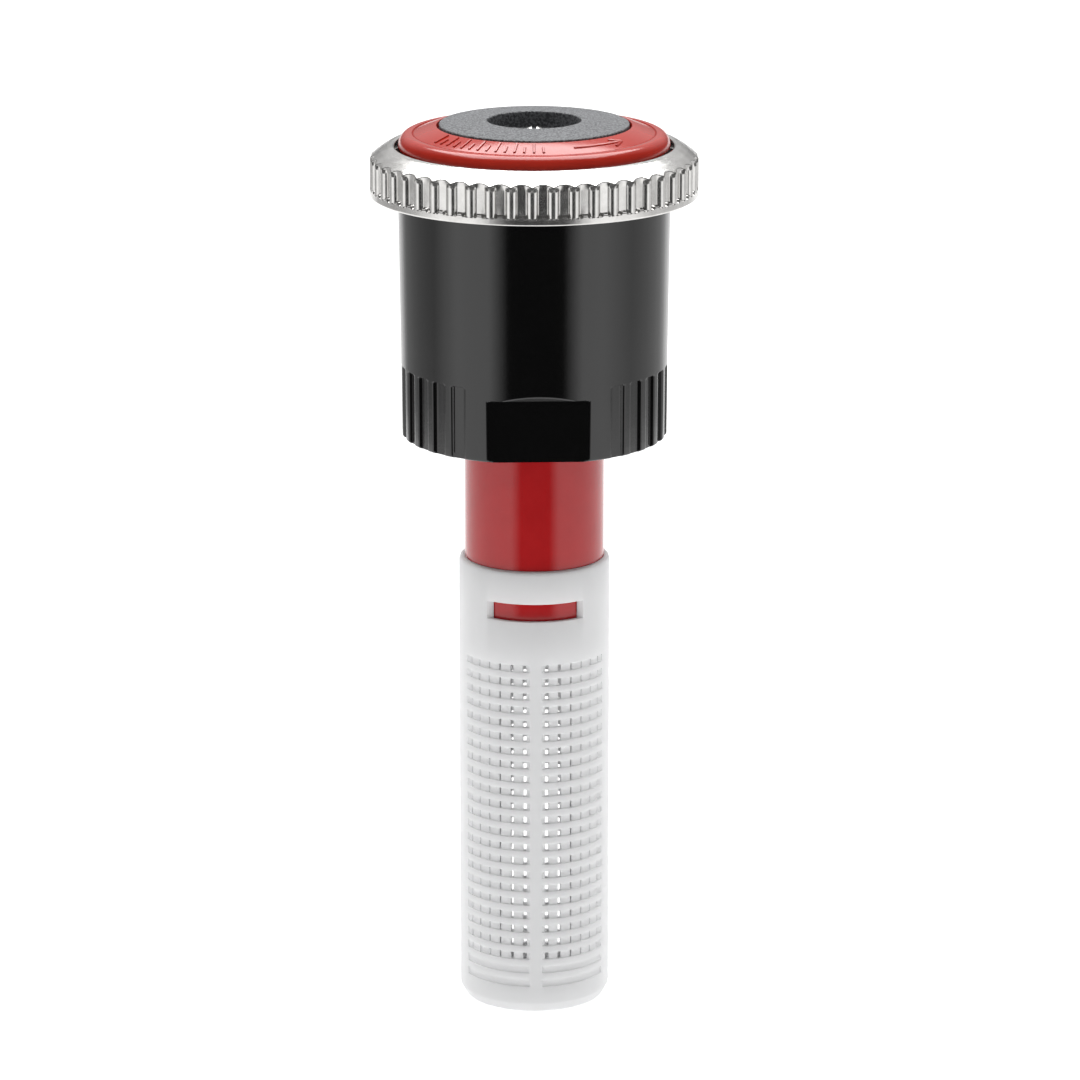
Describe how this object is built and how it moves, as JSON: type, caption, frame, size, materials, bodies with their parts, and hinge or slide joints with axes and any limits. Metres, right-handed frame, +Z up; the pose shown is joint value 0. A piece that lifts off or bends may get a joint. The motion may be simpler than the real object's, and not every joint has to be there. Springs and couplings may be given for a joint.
{
  "type": "rotary sprinkler nozzle",
  "caption": "Rotary multi-stream nozzle for a pop-up sprinkler riser: threaded collar, fluted arc ring, pop-up rotor with adjusting shaft, and push-on basket filter.",
  "frame": {"origin": "centre of the filter's flat foot, on the axis that every turning part shares", "axes": "+Z up along the axis towards the cap; -Y towards the front wrench flat"},
  "size_m": [0.0286, 0.0284, 0.0795],
  "materials": {
    "black_plastic": "satin moulded black",
    "red_plastic": "glossy moulded red",
    "grey_plastic": "fine-grained matte grey",
    "white_plastic": "slightly translucent white",
    "natural_plastic": "natural acetal",
    "stainless_steel": "bright stamped stainless",
    "rubber": "matte black rubber",
    "brass": "turned brass"
  },
  "bodies": {
    "housing": {"collar_housing": "black_plastic", "inlet_neck": "red_plastic", "nozzle_insert": "black_plastic", "shaft_guide": "black_plastic", "throttle_seat": "natural_plastic", "riser_gasket": "rubber", "neck_o_ring": "rubber", "retaining_clip": "stainless_steel"},
    "arc_ring": {"knurled_ring": "stainless_steel", "ring_core": "black_plastic"},
    "filter": {"filter_screen": "white_plastic"},
    "carrier": {"spring_seat": "natural_plastic", "return_spring": "stainless_steel"},
    "shaft": {"adjusting_shaft": "stainless_steel", "shaft_clip": "stainless_steel", "brake_stator": "brass", "thrust_washer": "natural_plastic"},
    "rotor": {"rotor_plate": "red_plastic", "top_cap": "grey_plastic", "upper_bearing": "black_plastic", "lower_bearing": "natural_plastic", "shaft_seal": "rubber"},
    "throttle": {"throttle_nut": "natural_plastic", "throttle_seal": "rubber"}
  },
  "joints": [
    {"name": "head_pop", "type": "slide", "parent": "housing", "child": "carrier", "axis": [0, 0, 1], "range_m": [0, 0.0065], "stiffness_N_per_m": 400, "springref_m": -0.007, "deforming": ["return_spring"]},
    {"name": "head_spin", "type": "hinge", "parent": "carrier", "child": "rotor", "pos_m": [0, 0, 0.0736], "axis": [0, 0, 1], "continuous": true},
    {"name": "shaft_turn", "type": "hinge", "parent": "carrier", "child": "shaft", "pos_m": [0, 0, 0.0736], "axis": [0, 0, -1], "range_deg": [0, 720]},
    {"name": "throttle_travel", "type": "slide", "parent": "carrier", "child": "throttle", "axis": [0, 0, 1], "range_m": [0, 0.0016]},
    {"name": "ring_turn", "type": "hinge", "parent": "housing", "child": "arc_ring", "pos_m": [0, 0, 0.0731], "axis": [0, 0, 1], "continuous": true},
    {"name": "filter_pull", "type": "slide", "parent": "housing", "child": "filter", "axis": [0, 0, -1], "range_m": [0, 0.012]}
  ],
  "couplings": [
    {"joint": "throttle_travel", "follows": "shaft_turn", "m_per_rad": 0.0001273}
  ]
}
